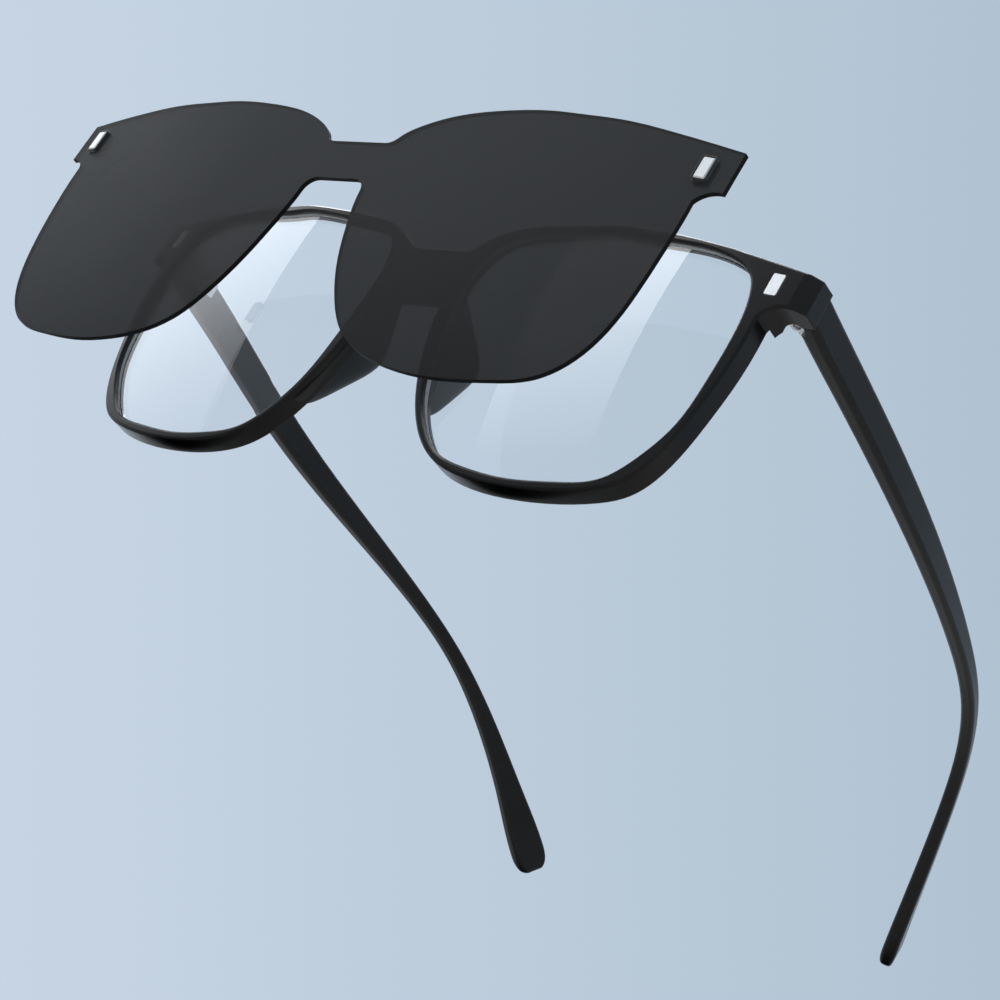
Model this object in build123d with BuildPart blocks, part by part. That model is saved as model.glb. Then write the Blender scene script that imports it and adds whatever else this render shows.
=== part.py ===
from build123d import *

import os
from math import asin, cos, degrees, radians, sin

os.makedirs("parts", exist_ok=True)

# Eyeglasses with a magnetic clip-on sun shield, drawn in millimetres.
# +Z is up, the wearer looks towards -Y, and the wearer's left side is at +X.
# The origin is the middle between the two lens boxes, on the front surface.

# Stance: how far the front leans when the rims and the temple tips rest on a table
FRONT_LEAN = 2.65

# Lens box, the gap between the boxes and the curve of the whole front
LENS_WIDTH = 50.2
LENS_HEIGHT = 44.7
LENS_GAP = 17.6
WRAP_FLAT = 20.0
WRAP_RADIUS = 240.0
BASE_RADIUS = 250.0

# Outline of a lens, from its top round by the temple and the nose side,
# as shares of half the box's width and height
LENS_SHAPE_SHARES = [
    (0.04, 1.0), (0.45, 0.973), (0.75, 0.911), (0.90, 0.81), (0.965, 0.66), (1.0, 0.31), (0.98, -0.06),
    (0.92, -0.42), (0.80, -0.67), (0.62, -0.88), (0.36, -0.96), (0.0, -1.0), (-0.28, -0.973),
    (-0.53, -0.895), (-0.71, -0.715), (-0.86, -0.43), (-0.95, -0.02), (-1.0, 0.40), (-0.97, 0.66),
    (-0.87, 0.834), (-0.66, 0.92), (-0.355, 0.973),
]

# Moulded front: the outline of a rim as shares of half the lens box grown by the rim
RIM_SIDE = 2.3
RIM_EDGE = 1.5
RIM_DEPTH = 3.6
RIM_SHAPE_SHARES = [
    (0.04, 1.0), (0.30, 0.977), (0.59, 0.941), (0.82, 0.875), (0.95, 0.73), (1.0, 0.43), (0.985, 0.08),
    (0.93, -0.26), (0.845, -0.58), (0.70, -0.82), (0.50, -0.925), (0.25, -0.982), (0.0, -1.0),
    (-0.29, -0.971), (-0.50, -0.89), (-0.66, -0.745), (-0.82, -0.468), (-0.93, -0.136),
    (-0.985, 0.161), (-1.0, 0.45), (-0.953, 0.744), (-0.80, 0.874), (-0.51, 0.95), (-0.22, 0.987),
]
BRIDGE_DROP = 6.0
BRIDGE_HEIGHT = 9.1
BRIDGE_CORNER = 1.6
EDGE_BEVEL = 0.35

# End pieces: how far they reach past the lens box, their drop from its top and their facets
END_FACE = 5.8
END_REACH = 8.3
END_DROP = 2.65
END_HEIGHT = 6.4
END_DEPTH = 8.9
END_WALL = 5.8
FACET_BACK = 1.7
ARCH_RADIUS = 3.6

# Lenses with a bevelled edge that sits in a groove
LENS_SET = 0.9
LENS_THICK = 1.9
LENS_BITE = 0.7
LENS_BEVEL = 0.6
SEAT_PLAY = 0.04

# Nose pads moulded on the rims, each a run of ovals from the rim to the tip of the pad,
# given as shares of the pad's reach, length and thickness
PAD_RISE = -2.0
PAD_CLIMB = 2.6
PAD_LEAN = 16.0
PAD_LENGTH = 25.0
PAD_THICK = 3.0
PAD_INSET = 0.4
PAD_REACH = 11.3
PAD_FLARE = 1.3
PAD_SHARES = [(0.12, 1.0, 1.0), (0.47, 0.90, 0.95), (0.70, 0.60, 0.85), (0.88, 0.34, 0.68), (1.0, 0.12, 0.35)]

# Magnets of the front, each under a silver plate
MAGNET_SIDE = 2.3
MAGNET_DROP = 5.5
MAGNET_WIDTH = 1.9
MAGNET_HEIGHT = 3.9
MAGNET_DEPTH = 1.5
PLATE_THICK = 0.45
PLATE_CORNER = 0.25

# Clip-on shield: its outline as shares of half the lens box grown by the clip's margins
CLIP_TRAVEL = 23.4
CLIP_LIFT = 0.6
CLIP_STANDOFF = 0.5
CLIP_THICK = 0.8
CLIP_SIDE = 3.0
CLIP_EDGE = 1.3
CLIP_RISE = 0.6
CLIP_SHAPE_SHARES = [
    (0.04, 1.0), (0.39, 0.983), (0.66, 0.944), (0.86, 0.87), (0.965, 0.70), (1.005, 0.40), (0.993, 0.095),
    (0.964, -0.222), (0.911, -0.497), (0.82, -0.71), (0.66, -0.88), (0.40, -0.962), (0.11, -1.0),
    (-0.17, -0.979), (-0.42, -0.90), (-0.60, -0.772), (-0.745, -0.56), (-0.868, -0.273),
    (-0.94, -0.011), (-0.985, 0.22), (-0.99, 0.50), (-0.95, 0.717), (-0.83, 0.831), (-0.66, 0.915),
    (-0.39, 0.975),
]
CLIP_BRIDGE_HEIGHT = 7.3
CLIP_BRIDGE_CORNER = 2.4
CLIP_END_REACH = 6.9
CLIP_END_DROP = 1.4
CLIP_END_HEIGHT = 7.5
CLIP_ARCH_RADIUS = 3.7
CLIP_LIP = 0.4

# Black holders round the clip's magnets
HOLDER_WALL = 0.3
HOLDER_PROUD = 0.45
FACE_PROUD = 0.1
FACE_BEVEL = 0.2

# Hinges: five knuckles on one screw, leaves let into the end piece and the temple
KNUCKLE_COUNT = 5
KNUCKLE_RADIUS = 1.2
KNUCKLE_HEIGHT = 1.0
KNUCKLE_GAP = 0.06
KNUCKLE_CLEAR = 0.3
SCREW_RADIUS = 0.6
SCREW_PLAY = 0.05
SCREW_SHORT = 0.3
HEAD_RADIUS = 0.95
HEAD_HEIGHT = 0.45
SLOT_WIDTH = 0.3
HINGE_INSET = 3.6
HINGE_BEHIND = 0.5
LEAF_THICK = 0.8
ANCHOR_LENGTH = 2.6
TEMPLE_LEAF_LENGTH = 7.5
LEAF_TIP = 2.6

# Temples: the run of the middle line back from the front, as shares of its length, bow and fall
TEMPLE_GAP = 0.15
TEMPLE_STEP = 0.2
TEMPLE_LENGTH = 132.6
TEMPLE_BOW = 25.4
TEMPLE_FALL = 39.2
TEMPLE_HEIGHT = 6.2
TEMPLE_THICK = 3.4
TEMPLE_CORNER_SHARE = 0.28
TEMPLE_RUN_SHARES = [
    (0.0, 0.0, 0.0), (0.12, -0.024, 0.044), (0.23, -0.046, 0.086), (0.335, -0.046, 0.124),
    (0.44, -0.010, 0.154), (0.555, 0.066, 0.186), (0.66, 0.175, 0.234), (0.747, 0.331, 0.322),
    (0.828, 0.528, 0.483), (0.917, 0.772, 0.738), (1.0, 1.0, 1.0),
]
# Sections as shares of the run, of the height and of the thickness at the hinge
TEMPLE_SECTION_SHARES = [
    (0.0, 1.0, 1.0), (0.10, 0.97, 0.94), (0.20, 0.93, 0.88), (0.30, 0.86, 0.82), (0.40, 0.74, 0.78),
    (0.50, 0.60, 0.74), (0.60, 0.47, 0.71), (0.70, 0.43, 0.69), (0.80, 0.55, 0.71), (0.90, 0.83, 0.76),
    (0.97, 1.06, 0.79), (0.988, 0.96, 0.74), (0.996, 0.76, 0.60), (1.0, 0.50, 0.42),
]
TIP_ROUND = 0.45

# Cutting tools reach this far past what they cut
OVERRUN = 30.0

# A face looks ahead when its normal has at least this share of the forward way
AHEAD_SHARE = 0.95

# Worked out from the sizes above
lens_centre = (LENS_GAP + LENS_WIDTH) / 2
lens_side = LENS_GAP / 2 + LENS_WIDTH
lens_top = LENS_HEIGHT / 2
face_end = lens_side + END_FACE
end_side = lens_side + END_REACH
end_top = lens_top - END_DROP
end_low = end_top - END_HEIGHT
bridge_top = lens_top - BRIDGE_DROP
magnet_x = lens_side + MAGNET_SIDE
magnet_z = lens_top - MAGNET_DROP
end_middle = (end_top + end_low) / 2

lean = radians(FRONT_LEAN)
up_front = Vector(0, -sin(lean), cos(lean))
forward = Vector(0, -cos(lean), -sin(lean))
datum = Vector(0, 0, 0)

hinge_x = end_side - HINGE_INSET
hinge_y = END_DEPTH + HINGE_BEHIND
hinge_z = (end_middle + END_DEPTH * sin(lean)) / cos(lean)
barrel_height = KNUCKLE_COUNT * KNUCKLE_HEIGHT + (KNUCKLE_COUNT - 1) * KNUCKLE_GAP
pocket_radius = KNUCKLE_RADIUS + KNUCKLE_CLEAR
clip_way = forward * CLIP_TRAVEL + up_front * CLIP_LIFT
clip_place = clip_way + forward * (CLIP_STANDOFF + CLIP_THICK)


def front_plane(place):
    """The plane of the front through place, x across and y up it."""
    return Plane(origin=place, x_dir=(1, 0, 0), z_dir=forward)


def plan_plane(place):
    """The plane that looks down on the front, x across and y backwards."""
    return Plane(origin=place, x_dir=(1, 0, 0), z_dir=up_front)


def level_axis(place):
    """The level axis far behind the front that its upright curve turns about."""
    return Axis(place - forward * BASE_RADIUS, (1, 0, 0))


def wrap_turn(x, radius):
    """The angle that the plan's arc has turned at x, past its flat middle."""
    return degrees(asin((x - WRAP_FLAT) / radius))


def magnet_plane(place, depth):
    """The plane of a magnet's face on the curved front, facing outwards, sunk by depth."""
    turn = radians(wrap_turn(magnet_x, WRAP_RADIUS))
    radius = BASE_RADIUS - WRAP_RADIUS * (1 - cos(turn))
    tip = asin(magnet_z / radius)
    ahead = up_front * sin(tip) + forward * cos(tip)
    spot = front_plane(place).from_local_coords((magnet_x, magnet_z, radius * cos(tip) - BASE_RADIUS))
    outward = Vector(sin(turn), 0, 0) + ahead * cos(turn)
    level = Vector(cos(turn), 0, 0) - ahead * sin(turn)
    return Plane(origin=spot - outward * depth, x_dir=level, z_dir=outward)


def shape_points(shares, side, edge, rise):
    """Points of an outline round a lens box that is grown by side and edge."""
    half_width = LENS_WIDTH / 2 + side
    half_height = LENS_HEIGHT / 2 + edge
    return [(lens_centre + x * half_width, rise + y * half_height) for x, y in shares]


def band_profile(place, near, far, reach):
    """The plan of one half of a curved sheet between two depths, out to reach."""
    with BuildSketch(plan_plane(place)) as band:
        with BuildLine():
            front = Line((0, near), (WRAP_FLAT, near))
            front_arc = JernArc(front @ 1, (1, 0), WRAP_RADIUS - near, wrap_turn(reach, WRAP_RADIUS - near))
            back = Line((0, far), (WRAP_FLAT, far))
            back_arc = JernArc(back @ 1, (1, 0), WRAP_RADIUS - far, wrap_turn(reach, WRAP_RADIUS - far))
            Line(front_arc @ 1, back_arc @ 1)
            Line(front @ 0, back @ 0)
        make_face()
    return band.sketch


def outer_edges(faces):
    """The edges that only one of these faces has."""
    every = [edge for face in faces for edge in face.edges()]
    return ShapeList(edge for edge in every if sum(edge.is_same(other) for other in every) == 1)


def lens_outline(margin):
    """A lens outline grown by margin, on the plane of the front."""
    with BuildSketch(front_plane(datum)) as ring:
        with BuildLine():
            Spline(shape_points(LENS_SHAPE_SHARES, margin, margin, 0), periodic=True)
        make_face()
    return ring.sketch


def whole_outline(place, points, brow, bridge, corner, tab, arch):
    """Both rims, the bridge and the ends seen from ahead, from levels, reaches and radii."""
    top, low = bridge
    reach, arch_start, tab_top, tab_low = tab
    with BuildSketch(front_plane(place)) as outline:
        with BuildLine():
            Spline(points, periodic=True)
        make_face()
        with BuildLine():
            Polyline((0, low), (0, top), (LENS_GAP / 2, top), (LENS_GAP / 2, low), close=True)
        make_face()
        with BuildLine():
            end = Polyline(brow, (reach, tab_top), (reach, tab_low), (arch_start, tab_low))
            hollow = JernArc(end @ 1, (-1, 0), arch, 90)
            Polyline(hollow @ 1, (lens_centre, (hollow @ 1).Y), brow)
        make_face()
        mirror(about=Plane.YZ)
        for level in bridge:
            meets = outline.vertices().sort_by(lambda v: abs(v.Y - level) - abs(v.X) / LENS_WIDTH)
            fillet(meets[:2], corner)
    return outline.sketch


def lens_blank(play):
    """The left lens with its bevelled edge, grown all round by play."""
    near = LENS_SET - play
    far = LENS_SET + LENS_THICK + play
    with BuildPart() as blank:
        revolve(band_profile(datum, near, far, end_side), axis=level_axis(datum))
        extrude(lens_outline(LENS_BITE + play), amount=OVERRUN, both=True, mode=Mode.INTERSECT)
        chamfer(blank.edges().filter_by(GeomType.LINE, reverse=True), LENS_BEVEL)
    return blank.part


def magnet_block(place, grow, near, far):
    """A block round a magnet's outline, grown on each side, between two heights over its seat."""
    with BuildPart() as block:
        with BuildSketch(magnet_plane(place, -near)):
            RectangleRounded(MAGNET_WIDTH + 2 * grow, MAGNET_HEIGHT + 2 * grow, PLATE_CORNER + grow)
        extrude(amount=far - near)
    return block.part


def upright_plane(height):
    """A level plane at the hinge's axis, at a height from the middle of its barrel."""
    return Plane(origin=(hinge_x, hinge_y, hinge_z + height))


def knuckle_low(number):
    """How high a knuckle starts, from the middle of the barrel."""
    return number * (KNUCKLE_HEIGHT + KNUCKLE_GAP) - barrel_height / 2


# Nose pad: ovals from inside the rim back to the tip of the pad
pad_x = LENS_GAP / 2 + PAD_INSET
with BuildPart() as nose_pad:
    for depth_share, length_share, thick_share in PAD_SHARES:
        oval_x = pad_x + PAD_FLARE * depth_share
        oval_y = PAD_RISE + PAD_CLIMB * depth_share
        spot = front_plane(datum).from_local_coords((oval_x, oval_y, -PAD_REACH * depth_share))
        with BuildSketch(front_plane(spot)):
            Ellipse(PAD_THICK / 2 * thick_share, PAD_LENGTH / 2 * length_share, rotation=PAD_LEAN)
    loft()

# Front: a plan profile with the end pieces, turned about the level axis and cut to its outline
rear_radius = WRAP_RADIUS - RIM_DEPTH
wall_start = end_side - END_WALL
rim_points = shape_points(RIM_SHAPE_SHARES, RIM_SIDE, RIM_EDGE, 0)
bridge_levels = (bridge_top, bridge_top - BRIDGE_HEIGHT)
end_tab = (end_side, face_end, end_top, end_low)
leaf_back = pocket_radius + ANCHOR_LENGTH
with BuildPart() as front_frame:
    with BuildSketch(plan_plane(datum)):
        with BuildLine():
            face_flat = Line((0, 0), (WRAP_FLAT, 0))
            face_arc = JernArc(face_flat @ 1, (1, 0), WRAP_RADIUS, wrap_turn(face_end, WRAP_RADIUS))
            facet_end = (end_side, (face_arc @ 1).Y + FACET_BACK)
            outside = Polyline(face_arc @ 1, facet_end, (end_side, OVERRUN), (wall_start, OVERRUN))
            rear_flat = Line((0, RIM_DEPTH), (WRAP_FLAT, RIM_DEPTH))
            rear_arc = JernArc(rear_flat @ 1, (1, 0), rear_radius, wrap_turn(wall_start, rear_radius))
            Line(outside @ 1, rear_arc @ 1)
            Line(face_flat @ 0, rear_flat @ 0)
        make_face()
    revolve(axis=level_axis(datum))
    mirror(about=Plane.YZ)
    front_outline = whole_outline(
        datum, rim_points, rim_points[2], bridge_levels, BRIDGE_CORNER, end_tab, ARCH_RADIUS
    )
    extrude(front_outline, amount=OVERRUN, both=True, mode=Mode.INTERSECT)
    split(bisect_by=Plane.XZ.offset(-END_DEPTH), keep=Keep.TOP)
    extrude(lens_outline(0), amount=OVERRUN, both=True, mode=Mode.SUBTRACT)
    mirrored_outline = mirror(lens_outline(0), about=Plane.YZ, mode=Mode.PRIVATE)
    extrude(mirrored_outline, amount=OVERRUN, both=True, mode=Mode.SUBTRACT)
    ahead_faces = front_frame.faces().filter_by(lambda f: f.normal_at().dot(forward) > AHEAD_SHARE)
    chamfer(outer_edges(ahead_faces).filter_by(GeomType.CIRCLE, reverse=True), EDGE_BEVEL)
    add(nose_pad.part)
    add(lens_blank(SEAT_PLAY), mode=Mode.SUBTRACT)
    magnet_floor = -(PLATE_THICK + MAGNET_DEPTH + 2 * SEAT_PLAY)
    add(magnet_block(datum, SEAT_PLAY, magnet_floor, OVERRUN), mode=Mode.SUBTRACT)
    with BuildSketch(upright_plane(-OVERRUN)):
        Circle(pocket_radius)
    extrude(amount=2 * OVERRUN, mode=Mode.SUBTRACT)
    with BuildSketch(upright_plane(-barrel_height / 2 - SEAT_PLAY)):
        slot_length = leaf_back + SEAT_PLAY
        Rectangle(LEAF_THICK + 2 * SEAT_PLAY, slot_length, align=(Align.CENTER, Align.MAX))
    extrude(amount=barrel_height + 2 * SEAT_PLAY, mode=Mode.SUBTRACT)
    split(bisect_by=Plane.YZ, keep=Keep.TOP)
    mirror(about=Plane.YZ)

# Hinge leaf let into the end piece, with every other knuckle from the lowest up
with BuildPart() as hinge_front:
    with BuildSketch(upright_plane(-barrel_height / 2)):
        with Locations((0, -pocket_radius)):
            Rectangle(LEAF_THICK, ANCHOR_LENGTH, align=(Align.CENTER, Align.MAX))
    extrude(amount=barrel_height)
    for number in range(0, KNUCKLE_COUNT, 2):
        with BuildSketch(upright_plane(knuckle_low(number))):
            Circle(KNUCKLE_RADIUS)
            Rectangle(LEAF_THICK, pocket_radius, align=(Align.CENTER, Align.MAX))
            Circle(SCREW_RADIUS + SCREW_PLAY, mode=Mode.SUBTRACT)
        extrude(amount=KNUCKLE_HEIGHT)

# Temple's hinge leaf, tapered to the rear, with the knuckles between
with BuildPart() as hinge_temple:
    with BuildSketch(Plane.YZ.offset(hinge_x - LEAF_THICK / 2)):
        leaf_start = hinge_y + pocket_radius
        leaf_end = leaf_start + TEMPLE_LEAF_LENGTH
        with BuildLine():
            Polyline(
                (leaf_start, hinge_z + barrel_height / 2), (leaf_end, hinge_z + LEAF_TIP / 2),
                (leaf_end, hinge_z - LEAF_TIP / 2), (leaf_start, hinge_z - barrel_height / 2), close=True,
            )
        make_face()
    extrude(amount=LEAF_THICK)
    for number in range(1, KNUCKLE_COUNT, 2):
        with BuildSketch(upright_plane(knuckle_low(number))):
            Circle(KNUCKLE_RADIUS)
            Rectangle(LEAF_THICK, pocket_radius, align=(Align.CENTER, Align.MIN))
            Circle(SCREW_RADIUS + SCREW_PLAY, mode=Mode.SUBTRACT)
        extrude(amount=KNUCKLE_HEIGHT)

# Slotted hinge screw, its end just short of the lowest knuckle's face
with BuildPart() as hinge_screw:
    with BuildSketch(upright_plane(SCREW_SHORT - barrel_height / 2)):
        Circle(SCREW_RADIUS)
    extrude(amount=barrel_height - SCREW_SHORT)
    with BuildSketch(upright_plane(barrel_height / 2)):
        Circle(HEAD_RADIUS)
    extrude(amount=HEAD_HEIGHT)
    with BuildSketch(upright_plane(barrel_height / 2 + HEAD_HEIGHT)):
        Rectangle(2 * HEAD_RADIUS, SLOT_WIDTH)
    extrude(amount=-HEAD_HEIGHT / 2, mode=Mode.SUBTRACT)

# Temple: rounded sections lofted along its run, from the butt joint to the curved tip
temple_start = Vector(end_side - TEMPLE_STEP - TEMPLE_THICK / 2, END_DEPTH + TEMPLE_GAP, hinge_z)
run_points = [
    temple_start + Vector(-bow * TEMPLE_BOW, along * TEMPLE_LENGTH, -fall * TEMPLE_FALL)
    for along, bow, fall in TEMPLE_RUN_SHARES
]
temple_run = Spline(run_points)
with BuildPart() as temple:
    for along, height_share, thick_share in TEMPLE_SECTION_SHARES:
        heading = temple_run % along if along else Vector(0, 1, 0)
        level = Vector(heading.Y, -heading.X, 0)
        with BuildSketch(Plane(origin=temple_run @ along, x_dir=level, z_dir=heading)):
            thick = TEMPLE_THICK * thick_share
            RectangleRounded(thick, TEMPLE_HEIGHT * height_share, thick * TEMPLE_CORNER_SHARE)
    loft()
    tip_edges = temple.faces().sort_by(Axis.Y)[-1].edges()
    fillet(tip_edges, TIP_ROUND)
    with BuildSketch(upright_plane(-OVERRUN)):
        Circle(pocket_radius)
    extrude(amount=2 * OVERRUN, mode=Mode.SUBTRACT)
    with BuildSketch(upright_plane(-barrel_height / 2 - SEAT_PLAY)):
        Rectangle(
            LEAF_THICK + 2 * SEAT_PLAY, pocket_radius + TEMPLE_LEAF_LENGTH + SEAT_PLAY,
            align=(Align.CENTER, Align.MIN),
        )
    extrude(amount=barrel_height + 2 * SEAT_PLAY, mode=Mode.SUBTRACT)

# Clip-on shield: one curved sheet with a bridge and an end over each magnet
clip_points = shape_points(CLIP_SHAPE_SHARES, CLIP_SIDE, CLIP_EDGE, CLIP_RISE)
clip_top = bridge_top
clip_levels = (clip_top, clip_top - CLIP_BRIDGE_HEIGHT)
clip_end = lens_side + CLIP_END_REACH
clip_end_top = lens_top - CLIP_END_DROP
clip_tab = (clip_end, clip_end - CLIP_LIP, clip_end_top, clip_end_top - CLIP_END_HEIGHT)
with BuildPart() as clip_shield:
    revolve(band_profile(clip_place, 0, CLIP_THICK, end_side), axis=level_axis(clip_place))
    mirror(about=Plane.YZ)
    clip_outline = whole_outline(
        clip_place, clip_points, clip_points[2], clip_levels, CLIP_BRIDGE_CORNER, clip_tab, CLIP_ARCH_RADIUS
    )
    extrude(clip_outline, amount=OVERRUN / 2, both=True, mode=Mode.INTERSECT)
    holder_hole = magnet_block(clip_way, HOLDER_WALL + SEAT_PLAY, -CLIP_STANDOFF, OVERRUN / 2)
    add(holder_hole, mode=Mode.SUBTRACT)
    add(mirror(holder_hole, about=Plane.YZ, mode=Mode.PRIVATE), mode=Mode.SUBTRACT)

# Clip's magnet, bevelled on its face, and the black holder round it
holder_front = CLIP_STANDOFF + CLIP_THICK + HOLDER_PROUD
with BuildPart() as clip_magnet:
    add(magnet_block(clip_way, 0, 0, holder_front + FACE_PROUD))
    chamfer(clip_magnet.faces().sort_by(Axis.Y)[0].edges(), FACE_BEVEL)
with BuildPart() as clip_holder:
    add(magnet_block(clip_way, HOLDER_WALL, 0, holder_front))
    add(magnet_block(clip_way, SEAT_PLAY, -CLIP_STANDOFF, OVERRUN / 2), mode=Mode.SUBTRACT)

# Silver plate flush with the front, over a magnet in the same pocket
with BuildPart() as frame_plate:
    add(magnet_block(datum, 0, -PLATE_THICK, 0))
with BuildPart() as frame_magnet:
    add(magnet_block(datum, 0, -(PLATE_THICK + SEAT_PLAY + MAGNET_DEPTH), -(PLATE_THICK + SEAT_PLAY)))

# Lens with a bevelled edge
with BuildPart() as lens:
    add(lens_blank(0))

middle_pieces = {"front_frame": front_frame.part, "clip_shield": clip_shield.part}
for name, piece in middle_pieces.items():
    piece.label = name
    export_step(piece, f"parts/{name}.step")

paired_pieces = {
    "lens": lens.part,
    "frame_magnet": frame_magnet.part,
    "frame_plate": frame_plate.part,
    "hinge_front": hinge_front.part,
    "hinge_temple": hinge_temple.part,
    "hinge_screw": hinge_screw.part,
    "temple": temple.part,
    "clip_magnet": clip_magnet.part,
    "clip_holder": clip_holder.part,
}
for name, piece in paired_pieces.items():
    sides = {"left": piece, "right": piece.mirror(Plane.YZ)}
    for side, sided in sides.items():
        sided.label = f"{name}_{side}"
        export_step(sided, f"parts/{name}_{side}.step")
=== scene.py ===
"""Looks, light and camera for the eyeglasses with their magnetic clip-on, in metres.

The eyeglasses face -Y with +Z up; the camera looks up at them from the wearer's front left.
"""
import math

import bpy
from mathutils import Matrix, Vector


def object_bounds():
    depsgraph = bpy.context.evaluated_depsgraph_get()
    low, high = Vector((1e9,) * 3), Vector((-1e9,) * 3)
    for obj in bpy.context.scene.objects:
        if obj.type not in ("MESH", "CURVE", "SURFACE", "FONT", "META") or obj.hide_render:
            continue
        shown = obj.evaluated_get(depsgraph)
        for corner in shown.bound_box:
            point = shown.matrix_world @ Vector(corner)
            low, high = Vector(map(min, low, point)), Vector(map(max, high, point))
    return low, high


MM = 0.001

# Camera: its place, its right and back directions, and its lens on a square sensor
CAMERA_PLACE = Vector((0.28333, -0.2554, -0.18666))
CAMERA_RIGHT = Vector((0.76732, 0.45356, 0.45333))
CAMERA_BACK = Vector((0.63127, -0.65858, -0.40961))
CAMERA_LENS = 99.03
SENSOR = 36.0
CAMERA_NEAR = 0.01
CAMERA_FAR = 20.0

# Stage: the rims and the temple tips stand on the floor, which the camera looks through from below
FLOOR_GAP = 0.1 * MM
FLOOR_SIZE = 6.0
FLOOR_DARK = (0.72, 0.74, 0.76)
FLOOR_LIGHT = (0.78, 0.80, 0.82)
FLOOR_ROUGHNESS = 0.9
BACKDROP_LEFT = (0.58, 0.67, 0.78)
BACKDROP_RIGHT = (0.43, 0.535, 0.635)
BACKDROP_HALF = 0.2
ROOM_COLOUR = (0.90, 0.93, 0.96, 1.0)
ROOM_STRENGTH = 0.6

# Part of a streak lamp's height, from its lower end, over which its light sets in
STREAK_START = 0.2
STREAK_FULL = 0.8

# Plastic: the softened edges and a tint that keeps its gloss neutral before the blue backdrop
EDGE_ROUND = 0.3 * MM
EDGE_SAMPLES = 6
NEUTRAL_TINT = (1.0, 0.93, 0.87, 1.0)
PLASTIC_IOR = 1.5

# Lenses and shield: how squarely they face the front where their cut edge ends and their face begins
LENS_EDGE_END = 0.86
LENS_FACE_START = 0.93
LENS_EDGE_COLOUR = (0.86, 0.87, 0.87, 1.0)
LENS_EDGE_ROUGHNESS = 0.5
LENS_IOR = 1.45
SHIELD_EDGE_END = 0.80
SHIELD_FACE_START = 0.90
SHIELD_EDGE_COLOUR = (0.008, 0.008, 0.008, 1.0)
SHIELD_OPACITY = 0.86
SHIELD_GLOSS = 0.04
SHIELD_IOR = 1.46

# Curve of the lenses and the shield: flat out to WRAP_FLAT, then an arc, all turned about a level axis
WRAP_FLAT = 20 * MM
WRAP_RADIUS = 240 * MM
BASE_RADIUS = 250 * MM
FRONT_WAY = Vector((0.0, -0.99893, -0.04624))
LENS_PLACE = Vector()
SHIELD_PLACE = Vector((0.0, -24.701, -0.543)) * MM


def new_material(name):
    """A material with a Principled shader and its node tree, for the makers below."""
    material = bpy.data.materials.new(name)
    material.use_nodes = True
    tree = material.node_tree
    shader = next(node for node in tree.nodes if node.type == "BSDF_PRINCIPLED")
    return material, tree, shader


def noise(tree, size, detail):
    """Noise in object space, whose grain is about size metres."""
    coordinates = tree.nodes.new("ShaderNodeTexCoord")
    texture = tree.nodes.new("ShaderNodeTexNoise")
    texture.inputs["Scale"].default_value = 1.0 / size
    texture.inputs["Detail"].default_value = detail
    tree.links.new(coordinates.outputs["Object"], texture.inputs["Vector"])
    return texture.outputs["Fac"]


def spread(tree, factor, low, high, start=0.3, end=0.7):
    """Maps a value between start and end to a range of plain numbers."""
    remap = tree.nodes.new("ShaderNodeMapRange")
    remap.inputs["From Min"].default_value = start
    remap.inputs["From Max"].default_value = end
    remap.inputs["To Min"].default_value = low
    remap.inputs["To Max"].default_value = high
    tree.links.new(factor, remap.inputs["Value"])
    return remap.outputs["Result"]


def tint(tree, factor, dark, light, start=0.3, end=0.7):
    """Runs from one colour to another as a value goes from start to end."""
    ramp = tree.nodes.new("ShaderNodeValToRGB")
    first, last = ramp.color_ramp.elements
    first.position = start
    first.color = (*dark, 1.0)
    last.position = end
    last.color = (*light, 1.0)
    tree.links.new(factor, ramp.inputs["Fac"])
    return ramp.outputs["Color"]


def grain(tree, shader, factor, depth, strength):
    """A fine bump of the given depth in metres."""
    bump = tree.nodes.new("ShaderNodeBump")
    bump.inputs["Distance"].default_value = depth
    bump.inputs["Strength"].default_value = strength
    tree.links.new(factor, bump.inputs["Height"])
    tree.links.new(bump.outputs["Normal"], shader.inputs["Normal"])
    return bump


def maths(tree, operation, first, second=None):
    """A plain number worked out from one or two others."""
    node = tree.nodes.new("ShaderNodeMath")
    node.operation = operation
    tree.links.new(first, node.inputs[0])
    if isinstance(second, float):
        node.inputs[1].default_value = second
    elif second is not None:
        tree.links.new(second, node.inputs[1])
    return node.outputs["Value"]


def vectors(tree, operation, first, second=None, result="Vector"):
    """A vector, or a number named by result, worked out from one or two vectors."""
    node = tree.nodes.new("ShaderNodeVectorMath")
    node.operation = operation
    tree.links.new(first, node.inputs[0])
    if isinstance(second, bpy.types.NodeSocket):
        tree.links.new(second, node.inputs[1])
    elif second is not None:
        node.inputs[1].default_value = second
    return node.outputs[result]


def face_share(tree):
    """How squarely a surface faces the front or the rear, from 0 to 1."""
    coordinates = tree.nodes.new("ShaderNodeTexCoord")
    facing = vectors(tree, "DOT_PRODUCT", coordinates.outputs["Normal"], FRONT_WAY, "Value")
    return maths(tree, "ABSOLUTE", facing)


def edge_and_face(tree, share, edge_colour, face_colour):
    """The edge's plain colour where share is 0, and the face's own where it is 1."""
    mix = tree.nodes.new("ShaderNodeMix")
    mix.data_type = "RGBA"
    mix.inputs["A"].default_value = edge_colour
    tree.links.new(share, mix.inputs["Factor"])
    tree.links.new(face_colour, mix.inputs["B"])
    return mix.outputs["Result"]


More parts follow.
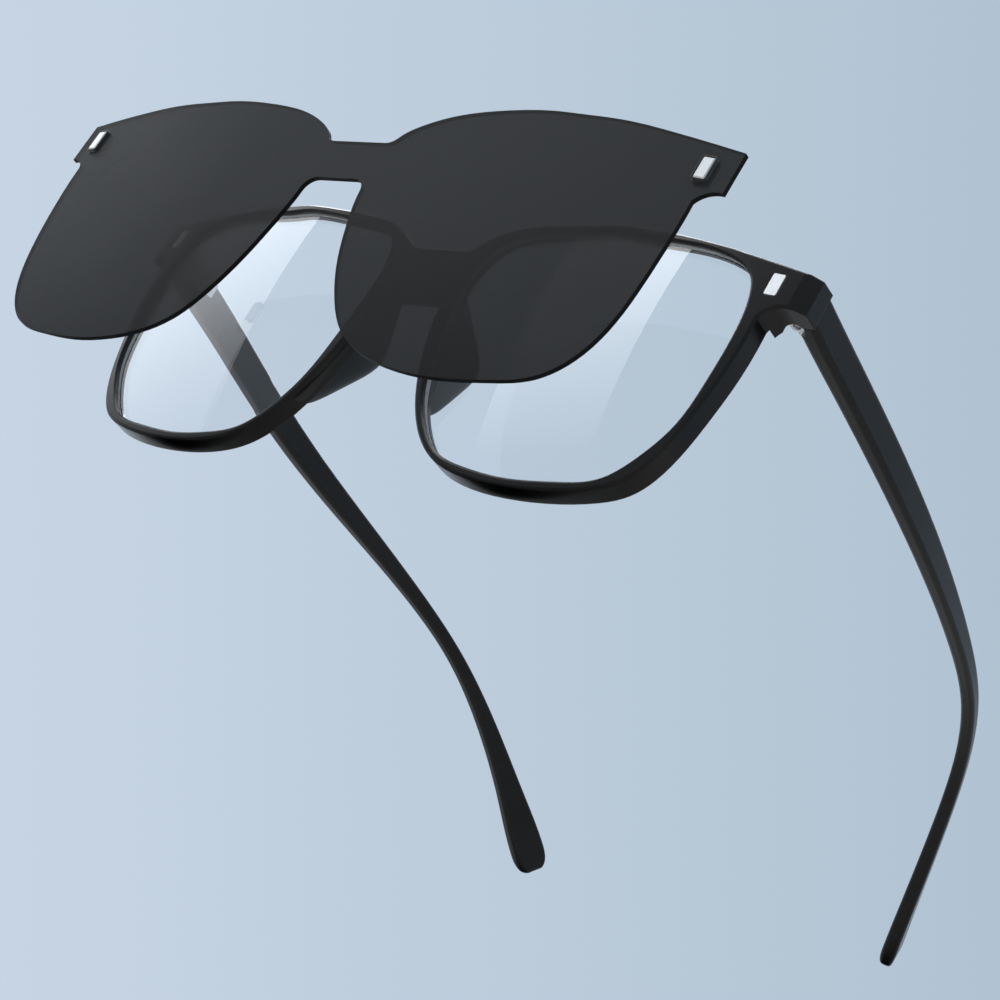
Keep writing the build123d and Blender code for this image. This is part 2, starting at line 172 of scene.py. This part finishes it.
def sheet_normal(tree, share, place):
    """The exact normal of a sheet curved like the front, and the mesh's own on its cut edges."""
    nodes = tree.nodes
    coordinates = nodes.new("ShaderNodeTexCoord")
    geometry = nodes.new("ShaderNodeNewGeometry")
    split = nodes.new("ShaderNodeSeparateXYZ")
    tree.links.new(coordinates.outputs["Object"], split.inputs["Vector"])
    reach = maths(tree, "ABSOLUTE", split.outputs["X"])
    past = maths(tree, "MAXIMUM", maths(tree, "SUBTRACT", reach, WRAP_FLAT), 0.0)
    slope = maths(tree, "DIVIDE", past, WRAP_RADIUS)
    side = maths(tree, "SIGN", split.outputs["X"])
    sideways = nodes.new("ShaderNodeCombineXYZ")
    tree.links.new(maths(tree, "MULTIPLY", slope, side), sideways.inputs["X"])
    axis = place - BASE_RADIUS * FRONT_WAY
    out = vectors(tree, "SUBTRACT", coordinates.outputs["Object"], axis)
    ahead = vectors(tree, "NORMALIZE", vectors(tree, "MULTIPLY", out, (0.0, 1.0, 1.0)))
    exact = vectors(tree, "NORMALIZE", vectors(tree, "ADD", ahead, sideways.outputs["Vector"]))
    same = vectors(tree, "DOT_PRODUCT", exact, geometry.outputs["Normal"], "Value")
    facing = vectors(tree, "SCALE", exact)
    tree.links.new(maths(tree, "SIGN", same), facing.node.inputs["Scale"])
    mix = nodes.new("ShaderNodeMix")
    mix.data_type = "VECTOR"
    tree.links.new(share, mix.inputs["Factor"])
    tree.links.new(geometry.outputs["Normal"], mix.inputs["A"])
    tree.links.new(facing, mix.inputs["B"])
    return mix.outputs["Result"]


def moulded_black(name, dark, light, smooth, rough, gloss):
    """Satin black injection-moulded plastic: faint cloudy tone between two greys, fine grain."""
    material, tree, shader = new_material(name)
    cloud = noise(tree, size=14 * MM, detail=3.0)
    fine = noise(tree, size=0.12 * MM, detail=2.0)
    tree.links.new(tint(tree, cloud, (dark,) * 3, (light,) * 3), shader.inputs["Base Color"])
    tree.links.new(spread(tree, cloud, smooth, rough), shader.inputs["Roughness"])
    shader.inputs["IOR"].default_value = PLASTIC_IOR
    shader.inputs["Specular IOR Level"].default_value = gloss
    shader.inputs["Specular Tint"].default_value = NEUTRAL_TINT
    bump = grain(tree, shader, fine, depth=0.003 * MM, strength=0.2)
    edges = tree.nodes.new("ShaderNodeBevel")
    edges.samples = EDGE_SAMPLES
    edges.inputs["Radius"].default_value = EDGE_ROUND
    tree.links.new(edges.outputs["Normal"], bump.inputs["Normal"])
    return material


def clear_lens(name):
    """Clear lens with a faint cool cast, its ground edge and bevels white and frosted."""
    material, tree, shader = new_material(name)
    cloud = noise(tree, size=20 * MM, detail=2.0)
    square = face_share(tree)
    clear = spread(tree, square, 0.0, 1.0, LENS_EDGE_END, LENS_FACE_START)
    frost = spread(tree, square, LENS_EDGE_ROUGHNESS, 0.0, LENS_EDGE_END, LENS_FACE_START)
    body = tint(tree, cloud, (0.980, 0.988, 0.992), (0.988, 0.994, 0.997))
    tree.links.new(edge_and_face(tree, clear, LENS_EDGE_COLOUR, body), shader.inputs["Base Color"])
    tree.links.new(clear, shader.inputs["Transmission Weight"])
    tree.links.new(frost, shader.inputs["Roughness"])
    tree.links.new(sheet_normal(tree, clear, LENS_PLACE), shader.inputs["Normal"])
    shader.inputs["IOR"].default_value = LENS_IOR
    return material


def dark_shield(name):
    """Dark grey polarised sheet, all but opaque, its cut edge a little darker."""
    material, tree, shader = new_material(name)
    cloud = noise(tree, size=25 * MM, detail=2.0)
    square = face_share(tree)
    face = spread(tree, square, 0.0, 1.0, SHIELD_EDGE_END, SHIELD_FACE_START)
    opacity = spread(tree, square, 1.0, SHIELD_OPACITY, SHIELD_EDGE_END, SHIELD_FACE_START)
    body = tint(tree, cloud, (0.030, 0.030, 0.030), (0.033, 0.033, 0.033))
    tree.links.new(edge_and_face(tree, face, SHIELD_EDGE_COLOUR, body), shader.inputs["Base Color"])
    tree.links.new(sheet_normal(tree, face, SHIELD_PLACE), shader.inputs["Normal"])
    tree.links.new(spread(tree, cloud, 0.40, 0.46), shader.inputs["Roughness"])
    tree.links.new(opacity, shader.inputs["Alpha"])
    shader.inputs["IOR"].default_value = SHIELD_IOR
    shader.inputs["Specular IOR Level"].default_value = SHIELD_GLOSS
    return material


def satin_metal(name, dark, light, smooth, rough, size):
    """Plated metal with a fine sandy grain, of about size metres."""
    material, tree, shader = new_material(name)
    fine = noise(tree, size, detail=4.0)
    tree.links.new(tint(tree, fine, dark, light), shader.inputs["Base Color"])
    tree.links.new(spread(tree, fine, smooth, rough), shader.inputs["Roughness"])
    shader.inputs["Metallic"].default_value = 1.0
    grain(tree, shader, fine, depth=0.008 * MM, strength=0.35)
    return material


def softbox(name, place, outward, upright, width, height, radiance):
    """A soft rectangular lamp at place, whose back looks outward and whose height runs upright."""
    lamp = bpy.data.lights.new(name, "AREA")
    lamp.shape = "RECTANGLE"
    lamp.size = width
    lamp.size_y = height
    lamp.energy = radiance * math.pi * width * height
    holder = bpy.data.objects.new(name, lamp)
    back = Vector(outward).normalized()
    across = Vector(upright).cross(back).normalized()
    turn = Matrix((across, back.cross(across), back)).transposed().to_4x4()
    holder.matrix_world = Matrix.Translation(Vector(place)) @ turn
    holder.visible_transmission = False
    bpy.context.scene.collection.objects.link(holder)
    return holder


def reflected_softbox(*measures):
    """A softbox for reflections alone."""
    holder = softbox(*measures)
    holder.visible_diffuse = False
    return holder


def streak(*measures):
    """A softbox for reflections alone, which fades out towards its lower end."""
    lamp = reflected_softbox(*measures).data
    lamp.use_nodes = True
    tree = lamp.node_tree
    glow = next(node for node in tree.nodes if node.type == "EMISSION")
    surface = tree.nodes.new("ShaderNodeNewGeometry")
    split = tree.nodes.new("ShaderNodeSeparateXYZ")
    tree.links.new(surface.outputs["Parametric"], split.inputs["Vector"])
    fade = spread(tree, split.outputs["Y"], 0.0, 1.0, STREAK_START, STREAK_FULL)
    tree.links.new(fade, glow.inputs["Strength"])


def build_floor(level):
    """A plain pale floor that only its upper side shows to the camera."""
    mesh = bpy.data.meshes.new("floor")
    half = FLOOR_SIZE / 2
    corners = [(-half, -half, level), (half, -half, level), (half, half, level), (-half, half, level)]
    mesh.from_pydata(corners, [], [(0, 1, 2, 3)])
    floor = bpy.data.objects.new("floor", mesh)
    bpy.context.scene.collection.objects.link(floor)
    material, tree, shader = new_material("floor_paint")
    cloud = noise(tree, size=0.4, detail=2.0)
    tree.links.new(tint(tree, cloud, FLOOR_DARK, FLOOR_LIGHT), shader.inputs["Base Color"])
    shader.inputs["Roughness"].default_value = FLOOR_ROUGHNESS
    clear = tree.nodes.new("ShaderNodeBsdfTransparent")
    side = tree.nodes.new("ShaderNodeNewGeometry")
    mix = tree.nodes.new("ShaderNodeMixShader")
    output = next(node for node in tree.nodes if node.type == "OUTPUT_MATERIAL")
    tree.links.new(side.outputs["Backfacing"], mix.inputs["Fac"])
    tree.links.new(shader.outputs["BSDF"], mix.inputs[1])
    tree.links.new(clear.outputs["BSDF"], mix.inputs[2])
    tree.links.new(mix.outputs["Shader"], output.inputs["Surface"])
    mesh.materials.append(material)


def build_world():
    """Soft room light, with the backdrop's colour where the camera, glass or gloss looks."""
    world = bpy.data.worlds.new("room")
    bpy.context.scene.world = world
    world.use_nodes = True
    tree = world.node_tree
    tree.nodes.clear()
    output = tree.nodes.new("ShaderNodeOutputWorld")
    room = tree.nodes.new("ShaderNodeBackground")
    room.inputs["Color"].default_value = ROOM_COLOUR
    room.inputs["Strength"].default_value = ROOM_STRENGTH
    backdrop = tree.nodes.new("ShaderNodeBackground")
    backdrop.inputs["Strength"].default_value = 1.0
    coordinates = tree.nodes.new("ShaderNodeTexCoord")
    across = vectors(tree, "DOT_PRODUCT", coordinates.outputs["Generated"], CAMERA_RIGHT, "Value")
    wide = spread(tree, across, 0.0, 1.0, -BACKDROP_HALF, BACKDROP_HALF)
    shade = tint(tree, wide, BACKDROP_LEFT, BACKDROP_RIGHT, 0.0, 1.0)
    tree.links.new(shade, backdrop.inputs["Color"])
    path = tree.nodes.new("ShaderNodeLightPath").outputs
    straight = maths(tree, "MAXIMUM", path["Is Camera Ray"], path["Is Transmission Ray"])
    seen = maths(tree, "MAXIMUM", straight, path["Is Glossy Ray"])
    mix = tree.nodes.new("ShaderNodeMixShader")
    tree.links.new(seen, mix.inputs["Fac"])
    tree.links.new(room.outputs["Background"], mix.inputs[1])
    tree.links.new(backdrop.outputs["Background"], mix.inputs[2])
    tree.links.new(mix.outputs["Shader"], output.inputs["Surface"])


def build_lights():
    """A broad lamp overhead, two that streak across the lenses and one that lines the top edges.

    Each has its place, its outward and upright directions, its width, height and radiance.
    """
    softbox("top_softbox", (-0.10, -0.18, 0.98), (-0.1, -0.2, 1.0), (0, 1, 0), 0.8, 0.6, 3.0)
    streak("left_streak", (-0.546, -0.806, 0.446), (-0.453, -0.794, 0.406), (0.011, 0.451, 0.893),
           0.22, 0.68, 5.6)
    streak("right_streak", (-0.980, -0.464, 0.337), (-0.751, -0.554, 0.358), (0.075, 0.468, 0.881),
           0.40, 0.69, 3.1)
    reflected_softbox("edge_softbox", (-0.69, 0.47, 0.73), (-0.63, 0.41, 0.66), (0, 0, 1),
                      0.5, 0.4, 4.2)


def build_camera():
    """The photograph's view."""
    camera = bpy.data.cameras.new("photo_camera")
    camera.sensor_width = SENSOR
    camera.lens = CAMERA_LENS
    camera.clip_start = CAMERA_NEAR
    camera.clip_end = CAMERA_FAR
    holder = bpy.data.objects.new("photo_camera", camera)
    back = CAMERA_BACK.normalized()
    right = (CAMERA_RIGHT - back * CAMERA_RIGHT.dot(back)).normalized()
    turn = Matrix((right, back.cross(right), back)).transposed().to_4x4()
    holder.matrix_world = Matrix.Translation(CAMERA_PLACE) @ turn
    bpy.context.scene.collection.objects.link(holder)
    bpy.context.scene.camera = holder


bpy.context.scene.view_settings.view_transform = "Standard"
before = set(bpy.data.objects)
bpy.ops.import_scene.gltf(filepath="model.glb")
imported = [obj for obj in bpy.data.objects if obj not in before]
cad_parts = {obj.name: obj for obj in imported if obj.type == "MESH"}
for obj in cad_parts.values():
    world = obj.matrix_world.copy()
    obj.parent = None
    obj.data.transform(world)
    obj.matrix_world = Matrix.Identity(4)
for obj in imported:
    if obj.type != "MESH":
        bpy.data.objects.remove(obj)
cad_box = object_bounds()

# Plastics have two greys, a smooth and a rough share and a gloss; metals two colours and a grain size
looks = {
    "front_frame": moulded_black("satin_black_front", 0.004, 0.006, 0.18, 0.24, 0.24),
    "temple": moulded_black("satin_black_temple", 0.005, 0.008, 0.22, 0.28, 0.24),
    "clip_holder": moulded_black("black_holder", 0.005, 0.008, 0.35, 0.45, 0.3),
    "lens": clear_lens("clear_lens"),
    "clip_shield": dark_shield("dark_shield"),
    "frame_plate": satin_metal(
        "silver_plate", (0.70, 0.69, 0.68), (0.82, 0.81, 0.80), 0.38, 0.52, 0.25 * MM),
    "clip_magnet": satin_metal(
        "silver_cap", (0.60, 0.60, 0.59), (0.70, 0.70, 0.69), 0.42, 0.52, 0.3 * MM),
    "frame_magnet": satin_metal(
        "plated_magnet", (0.55, 0.55, 0.56), (0.65, 0.65, 0.66), 0.2, 0.3, 0.4 * MM),
    "hinge": satin_metal(
        "hinge_steel", (0.50, 0.50, 0.51), (0.60, 0.60, 0.61), 0.28, 0.40, 0.3 * MM),
}
for name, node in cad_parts.items():
    look = next(look for key, look in looks.items() if name.startswith(key))
    for slot in node.material_slots:
        slot.material = look

# The streaks on the clear lenses run on behind the shield, as in the photograph
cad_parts["clip_shield"].visible_glossy = False

build_floor(cad_box[0].z - FLOOR_GAP)
build_world()
build_lights()
build_camera()
